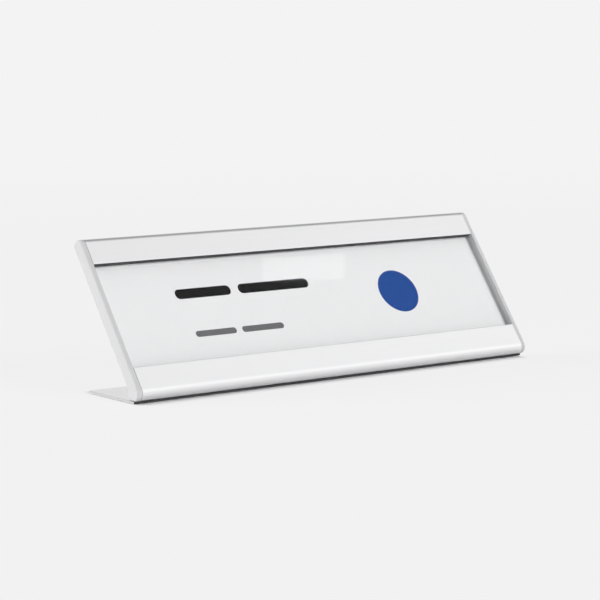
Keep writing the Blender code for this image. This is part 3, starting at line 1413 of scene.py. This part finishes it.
@dataclass
class LensAndCard(Part):
    """The clear lens and the printed card behind it."""

    face_play: float = 0.0001
    lens_thickness: float = 0.0015
    lens_round: float = 0.0002
    lens_steps: int = 3
    card_thickness: float = 0.00035
    lines: tuple[PrintedLine, ...] = (
        PrintedLine(Ink.BLACK, 0.0486, 0.0046, ((-0.0665, -0.0385), (-0.0345, 0.0025))),
        PrintedLine(Ink.GREY, 0.0296, 0.0028, ((-0.0640, -0.0435), (-0.0405, -0.0190))),
    )
    mark_centre: Point2 = (0.0492, 0.0403)
    mark_radius: float = 0.0105
    mark_sides: int = 96

    def _corners(self) -> tuple[Point2, Point2]:
        """The corners of both sheets.

        Returns:
            The lowest and highest, as (X, rise).
        """
        low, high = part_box("insert_card")
        half = (high.x - low.x) / 2
        middle = sum(self.section.slot) / 2
        reach = self.section.card_height / 2
        return (-half, middle - reach), (half, middle + reach)

    def make_lens(self) -> None:
        """Builds and dresses the lens."""
        low, high = self._corners()
        back = -self.lens_thickness
        mesh = cleaned(box_mesh("lens", (*low, back), (*high, 0.0), self.lens_round, self.lens_steps))
        mesh.materials.append(ClearAcrylic("clear_acrylic_lens").make())
        # partly painted shade: the lens's edges are a sawn grey that also darkens the window's inner corners
        sawn = SawnAcrylic("sawn_acrylic_edge").make()
        give_finish(mesh, sawn, lambda face: abs(face.normal.z) < FACING)
        mesh.transform(self.section.sheet_placement(self.section.lip_thickness + self.face_play))
        self.shop.deliver("acrylic_lens", mesh, "lens", "clear_acrylic", ["clear_lens"])

    def make_card(self) -> None:
        """Builds and dresses the card, with plain bars and a disc where the print goes."""
        patches = [(rectangle(*self._corners()), Ink.BARE.value)]
        for line in self.lines:
            patches += line.patches()
        mark = circle(self.mark_centre, self.mark_radius, self.mark_sides)
        patches.append((mark, Ink.BLUE.value))
        mesh = PrintedCardTree().run(
            wire_mesh("card_outlines", patches),
            Thickness=self.card_thickness,
            Bare=CardStock("matt_card").make(),
            Black=PrintInk("ink_black", (10, 10, 11)).make(),
            Grey=PrintInk("ink_grey", (112, 112, 113)).make(),
            Blue=PrintInk("ink_blue", (26, 74, 152)).make(),
        )
        depth = self.section.slot_back - self.face_play - self.card_thickness
        mesh.transform(self.section.sheet_placement(depth))
        self.shop.deliver("printed_card", mesh, "card", "white_card", ["insert_card"])


@dataclass
class Foot(Part):
    """The flat foot plate with its countersunk screws and its anti-slip pads.

    Its front edge is painted dark as shade; it takes in each face whose normal's upright part is below the
    flat limit.
    """

    corner_radius: float = 0.0010
    edge_radius: float = 0.00045
    edge_steps: int = 3
    flat_limit: float = 0.9
    screw_names: tuple[str, ...] = ("left", "middle", "right")
    screw_radius: float = 0.0010
    head_radius: float = 0.0018
    screw_length: float = 0.0050
    tip_bevel: float = 0.0003
    screw_play: float = 0.0001
    screw_end_inset: float = 0.0292
    screw_from_heel: float = 0.0019
    screw_sink: float = 0.0001
    socket_radius: float = 0.00075
    socket_depth: float = 0.0006
    socket_sides: int = 6
    pad_radius: float = 0.0040
    pad_thickness: float = 0.0002
    pad_round: float = 0.00008
    pad_steps: int = 4
    sides: int = 48

    def _screw_profile(self, play: float, head_drop: float) -> list[Point2]:
        """A countersunk screw's profile, head down.

        Args:
            play: How much each side grows.
            head_drop: How far the head's flat is run down.

        Returns:
            The (radius, height) points from the tip to the head.
        """
        radius = self.screw_radius + play
        head = self.head_radius + play
        top = self.screw_length + play
        return [
            (0, top),
            (radius - self.tip_bevel, top),
            (radius, top - self.tip_bevel),
            (radius, head - radius),
            (head, 0),
            (head, -head_drop),
            (0, -head_drop),
        ]

    def _row(self, host: Mesh, finish: Material | None) -> Mesh:
        """Repeats a screw or its hole at the screws' places.

        Args:
            host: The shape, at the origin.
            finish: Its material.

        Returns:
            The row.
        """
        low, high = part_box("foot_plate")
        outermost = (high.x - low.x) / 2 - self.screw_end_inset
        count = len(self.screw_names)
        y = self.section.heel_back - self.screw_from_heel - self.section.origin_back
        return RowTree().run(
            host,
            Count=count,
            First=(-outermost, y, low.z + self.screw_sink),
            Step=(2 * outermost / (count - 1), 0.0, 0.0),
            Finish=finish,
        )

    def screw_holes(self) -> Mesh:
        """The shapes that the screws' holes take out of the foot and the channel.

        Returns:
            Their mesh.
        """
        low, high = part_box("foot_plate")
        profile = self._screw_profile(self.screw_play, high.z - low.z)
        return self._row(turned_mesh("screw_holes", profile, self.sides), None)

    def make_plate(self, holes: Mesh) -> None:
        """Builds and dresses the plate.

        Args:
            holes: The shapes of the screws' holes.
        """
        low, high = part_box("foot_plate")
        outline = rectangle(low.xy, high.xy, self.corner_radius)
        finish = SatinAluminium("satin_aluminium_sheet", roughness=0.32, fine=Grain(0.030, 0.0003))
        mesh = self.shop.extrude("foot_outline", [outline], low.z, high.z - low.z, finish.make())
        for height in (low.z, high.z):
            round_rim(mesh, height, self.edge_radius, self.edge_steps)
        mesh = carved(mesh, [holes])
        front = low.y + self.edge_radius
        # painted shade: the foot's front edge is made dark to stand in for the shade under the rail's
        # rounding
        give_finish(
            mesh,
            DullAluminium("dull_aluminium_edge").make(),
            lambda face: face.center.y < front and abs(face.normal.z) < self.flat_limit,
        )
        self.shop.deliver("foot_sheet", mesh, "holder", "foot_aluminium", ["foot_plate"])

    def make_screws(self) -> None:
        """Builds and dresses the screws."""
        finish = ZincSteel("zinc_screw").make()
        screw = turned_mesh("screw", self._screw_profile(0.0, 0.0), self.sides)
        screw.materials.append(finish)
        radius, depth = self.socket_radius, self.socket_depth
        profile = [(0, depth), (radius, depth), (radius, -depth), (0, -depth)]
        mesh = self._row(carved(screw, [turned_mesh("socket", profile, self.socket_sides)]), finish)
        nodes = [f"foot_screw_{name}" for name in self.screw_names]
        self.shop.deliver("foot_screws", mesh, "holder", "zinc_steel", nodes)

    def make_pads(self) -> None:
        """Builds and dresses the pads."""
        profile = [(0, self.pad_thickness), (self.pad_radius, self.pad_thickness)]
        for step in reversed(range(self.pad_steps + 1)):
            turn = math.pi / 2 * step / self.pad_steps
            inset = self.pad_round * (1 - math.sin(turn))
            profile.append((self.pad_radius - inset, self.pad_round * (1 - math.cos(turn))))
        profile.append((0, 0))
        nodes = [f"foot_pad_{row}_{side.label}" for row in ("front", "back") for side in Side]
        low, high = cad_box_of(nodes)
        mesh = CornersTree().run(
            turned_mesh("pad", profile, self.sides),
            Length=high.x - low.x - 2 * self.pad_radius,
            Depth=high.y - low.y - 2 * self.pad_radius,
            Centre=((low.x + high.x) / 2, (low.y + high.y) / 2, 0.0),
            Finish=SoftPad("soft_pad_film").make(),
        )
        self.shop.deliver("foot_pads", mesh, "holder", "soft_pad", nodes)


# The studio


def aimed_object(name: str, data: ID, place: Corner, target: Corner, roll: float = 0.0) -> Object:
    """A lamp or camera that looks at a point.

    Args:
        name: The object's name.
        data: The lamp or camera.
        place: Where it stands.
        target: What it looks at.
        roll: Its turn about its line of sight.

    Returns:
        The object.
    """
    obj = linked_object(name, data)
    obj.location = place
    direction = Vector(target) - Vector(place)
    turn = direction.to_track_quat("-Z", "Y") @ Quaternion((0, 0, 1), roll)
    obj.rotation_euler = turn.to_euler()
    return obj


@dataclass(frozen=True)
class Softbox:
    """A rectangular lamp that faces a point.

    It lights either matt surfaces alone or mirrors alone: metal mirrors the world's own soft light.
    """

    name: str
    place: Corner
    size: Point2
    radiance: float
    target: Corner = (0.0, 0.0, 0.03)
    roll: float = 0.0
    mirrored: bool = False

    def hang(self) -> None:
        """Adds the lamp."""
        lamp = bpy.data.lights.new(self.name, "AREA")
        lamp.shape = "RECTANGLE"
        lamp.size, lamp.size_y = self.size
        lamp.energy = self.radiance * math.pi * self.size[0] * self.size[1]
        obj = aimed_object(self.name, lamp, self.place, self.target, self.roll)
        obj.visible_glossy = self.mirrored
        obj.visible_diffuse = not self.mirrored


@dataclass(frozen=True)
class MirroredRoom:
    """How bright metal sees the room by direction.

    It is a little brighter to the right. In front it is brighter the lower it is, down to a dimmer horizon,
    and a dark flag hangs above and behind. In the direction that the rail mirrors for the camera, the level
    is the middle one. An edge is a soft step's start and end.
    """

    rail_mirrors: Corner = (0.607, -0.356, 0.71)
    middle: float = 0.998
    slope: float = 0.4
    side_limits: Point2 = (0.7, 1.1)
    front_edge: Point2 = (0.1, -0.15)
    fall: float = 0.8
    fall_shares: Point2 = (-0.79, -0.61)
    fall_limits: Point2 = (-0.25, 0.2)
    horizon_loss: float = 0.15
    horizon_edge: Point2 = (0.30, 0.08)
    flag_loss: float = 0.7
    flag_back_edge: Point2 = (-0.25, 0.15)
    flag_low_edge: Point2 = (0.32, 0.55)
    flag_side_edge: Point2 = (0.0, 0.3)

    def level(self, bench: NodeBench) -> Wire:
        """Adds the nodes that give the level.

        Args:
            bench: The world's nodes.

        Returns:
            The level by direction.
        """
        across, back, up = bench.parts(bench.wire(bench.node("ShaderNodeTexCoord"), "Generated"))
        right, behind, above = self.rail_mirrors
        back_share, up_share = self.fall_shares
        side = (self.middle + self.slope * (across - right)).within(*self.side_limits)
        fall = (back_share * (back - behind) + up_share * (up - above)).within(*self.fall_limits)
        in_front = bench.smooth_step(back, *self.front_edge)
        horizon = bench.smooth_step(up, *self.horizon_edge) * in_front
        flag = bench.smooth_step(back, *self.flag_back_edge) * bench.smooth_step(up, *self.flag_low_edge)
        flag = flag * bench.smooth_step(across, *self.flag_side_edge)
        open_level = side + self.fall * fall * in_front
        return open_level * (1.0 - self.horizon_loss * horizon) * (1.0 - self.flag_loss * flag)


@dataclass(frozen=True)
class PaleFloor:
    """A round pale floor that fades into the backdrop's tone, darker where it meets the foot.

    That contact shade reaches further in mirrors, and less far beside the foot's ends than in front of it.
    """

    tone: float = 241.0
    radius: float = 9.0
    sides: int = 96
    glow: float = 0.90
    fade_edge: Point2 = (0.35, 1.5)
    contact_reach: float = 0.007
    mirrored_reach: float = 0.014
    contact_squeeze: float = 3.0
    contact_inset: float = 0.002

    def _contact(self, bench: NodeBench, across: Wire, along: Wire) -> Wire:
        """The contact shade.

        Args:
            bench: The floor's nodes.
            across: A point's place along X.
            along: Its place along Y.

        Returns:
            A level that rises from 0 at the foot to 1 where the floor is clear of it.
        """
        low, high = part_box("foot_plate")
        beside = (across - (low.x + high.x) / 2).size() - (high.x - low.x) / 2 + self.contact_inset
        before = (along - (low.y + high.y) / 2).size() - (high.y - low.y) / 2
        beside = beside.larger(0.0) * self.contact_squeeze
        before = before.larger(0.0)
        reach = self.contact_reach + (self.mirrored_reach - self.contact_reach) * bench.ray_is("Glossy")
        return bench.smooth_step((beside * beside + before * before).root(), 0.0, reach)

    def _material(self, backdrop_tone: float) -> Material:
        """The floor's material.

        Args:
            backdrop_tone: The backdrop's tone.

        Returns:
            The material.
        """
        bench = SurfaceBench("studio_floor")
        across, along, _ = bench.parts(bench.place)
        distance = (across * across + along * along).root()
        fade = bench.smooth_step(distance, *self.fade_edge)
        share = self.glow * self._contact(bench, across, along) + (1.0 - self.glow) * fade
        matt = bench.node("ShaderNodeBsdfDiffuse", {}, {"Color": paint((self.tone,) * 3)})
        glow = bench.node("ShaderNodeEmission", {}, {"Color": paint((backdrop_tone,) * 3)})
        return bench.output(bench.mixed(share * bench.ray_is("Camera", "Glossy", "Transmission"), matt, glow))

    def lay(self, backdrop_tone: float) -> None:
        """Adds the floor.

        Args:
            backdrop_tone: The tone that it fades into.
        """
        mesh = bpy.data.meshes.new("floor")
        with shaping(mesh) as shape:
            bmesh.ops.create_circle(shape, cap_ends=True, radius=self.radius, segments=self.sides)
        mesh.materials.append(self._material(backdrop_tone))
        linked_object("floor", mesh)


@dataclass(frozen=True)
class Studio:
    """The floor, the world, the lamps and the camera."""

    backdrop_tone: float = 243.0
    world_level: float = 0.29
    room: MirroredRoom = MirroredRoom()
    floor: PaleFloor = PaleFloor()
    lamps: tuple[Softbox, ...] = (
        Softbox("left_softbox", (-4.0, 2.8, 2.0), (2.4, 2.0), radiance=15.3),
        Softbox("front_softbox", (0.45, -2.4, 1.3), (1.8, 1.2), radiance=6.2),
        Softbox("overhead_softbox", (0.6, -0.3, 4.5), (3.0, 3.0), radiance=0.3, target=(0.0, 0.0, 0.0)),
        Softbox(
            "window_glint",
            (1.222, -0.678, 1.474),
            (0.107, 0.032),
            radiance=3.6,
            target=(0.0034, 0.009, 0.0451),
            roll=math.radians(-54),
            mirrored=True,
        ),
    )
    eye: Corner = (-0.5821, -0.745031, 0.15287)
    target: Corner = (-0.011546, -0.007095, 0.033179)
    focal_length: float = 133.9
    sensor_width: float = 36.0
    clip_start: float = 0.05
    clip_end: float = 50.0

    def build_world(self) -> None:
        """Lights the scene evenly, shows the backdrop to the camera and through glass, and gives mirrors the
        room's levels.
        """
        world = bpy.data.worlds.new("studio")
        world.use_nodes = True
        bench = NodeBench(world.node_tree)
        seen = bench.ray_is("Camera", "Transmission")
        mirrored = bench.ray_is("Glossy")
        lit = mirrored * self.room.level(bench) + (1.0 - mirrored) * self.world_level
        level = seen * linear(self.backdrop_tone) + (1.0 - seen) * lit
        light = bench.node("ShaderNodeBackground", {}, {"Color": (1, 1, 1, 1), "Strength": level})
        bench.node("ShaderNodeOutputWorld", {}, {"Surface": light})
        bpy.context.scene.world = world

    def set_camera(self) -> None:
        """Sets the camera at the photograph's viewing angle."""
        camera = bpy.data.cameras.new("camera")
        camera.lens = self.focal_length
        camera.sensor_width = self.sensor_width
        camera.clip_start = self.clip_start
        camera.clip_end = self.clip_end
        bpy.context.scene.camera = aimed_object("camera", camera, self.eye, self.target)

    def build(self) -> None:
        """Builds the whole studio."""
        bpy.context.scene.view_settings.view_transform = "Standard"
        self.set_camera()
        self.build_world()
        self.floor.lay(self.backdrop_tone)
        for lamp in self.lamps:
            lamp.hang()


def main() -> None:
    """Builds the studio and every piece of the holder, in order."""
    logging.basicConfig(level=logging.INFO, format="%(name)s: %(message)s")
    Studio().build()
    section = PanelSection.from_frame()
    shop = Workshop()
    foot = Foot(section, shop)
    holes = foot.screw_holes()
    Channel(section, shop).make(holes.copy())
    cap_finish = MouldedPlastic("moulded_plastic_cap").make()
    # painted light: the caps' inner faces get a lighter copy of the plastic, set for how the recess wall is
    # lit
    inner_finish = MouldedPlastic("moulded_plastic_inside", tone=(216, 216, 217), roughness=0.6).make()
    for side in Side:
        EndCap(section, shop, side, cap_finish, inner_finish).make()
    sheets = LensAndCard(section, shop)
    sheets.make_lens()
    sheets.make_card()
    foot.make_plate(holes)
    foot.make_screws()
    foot.make_pads()
    LOG.info("%d pieces for %d CAD nodes", len(shop.made), len(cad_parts))


if __name__ == "__main__":
    main()
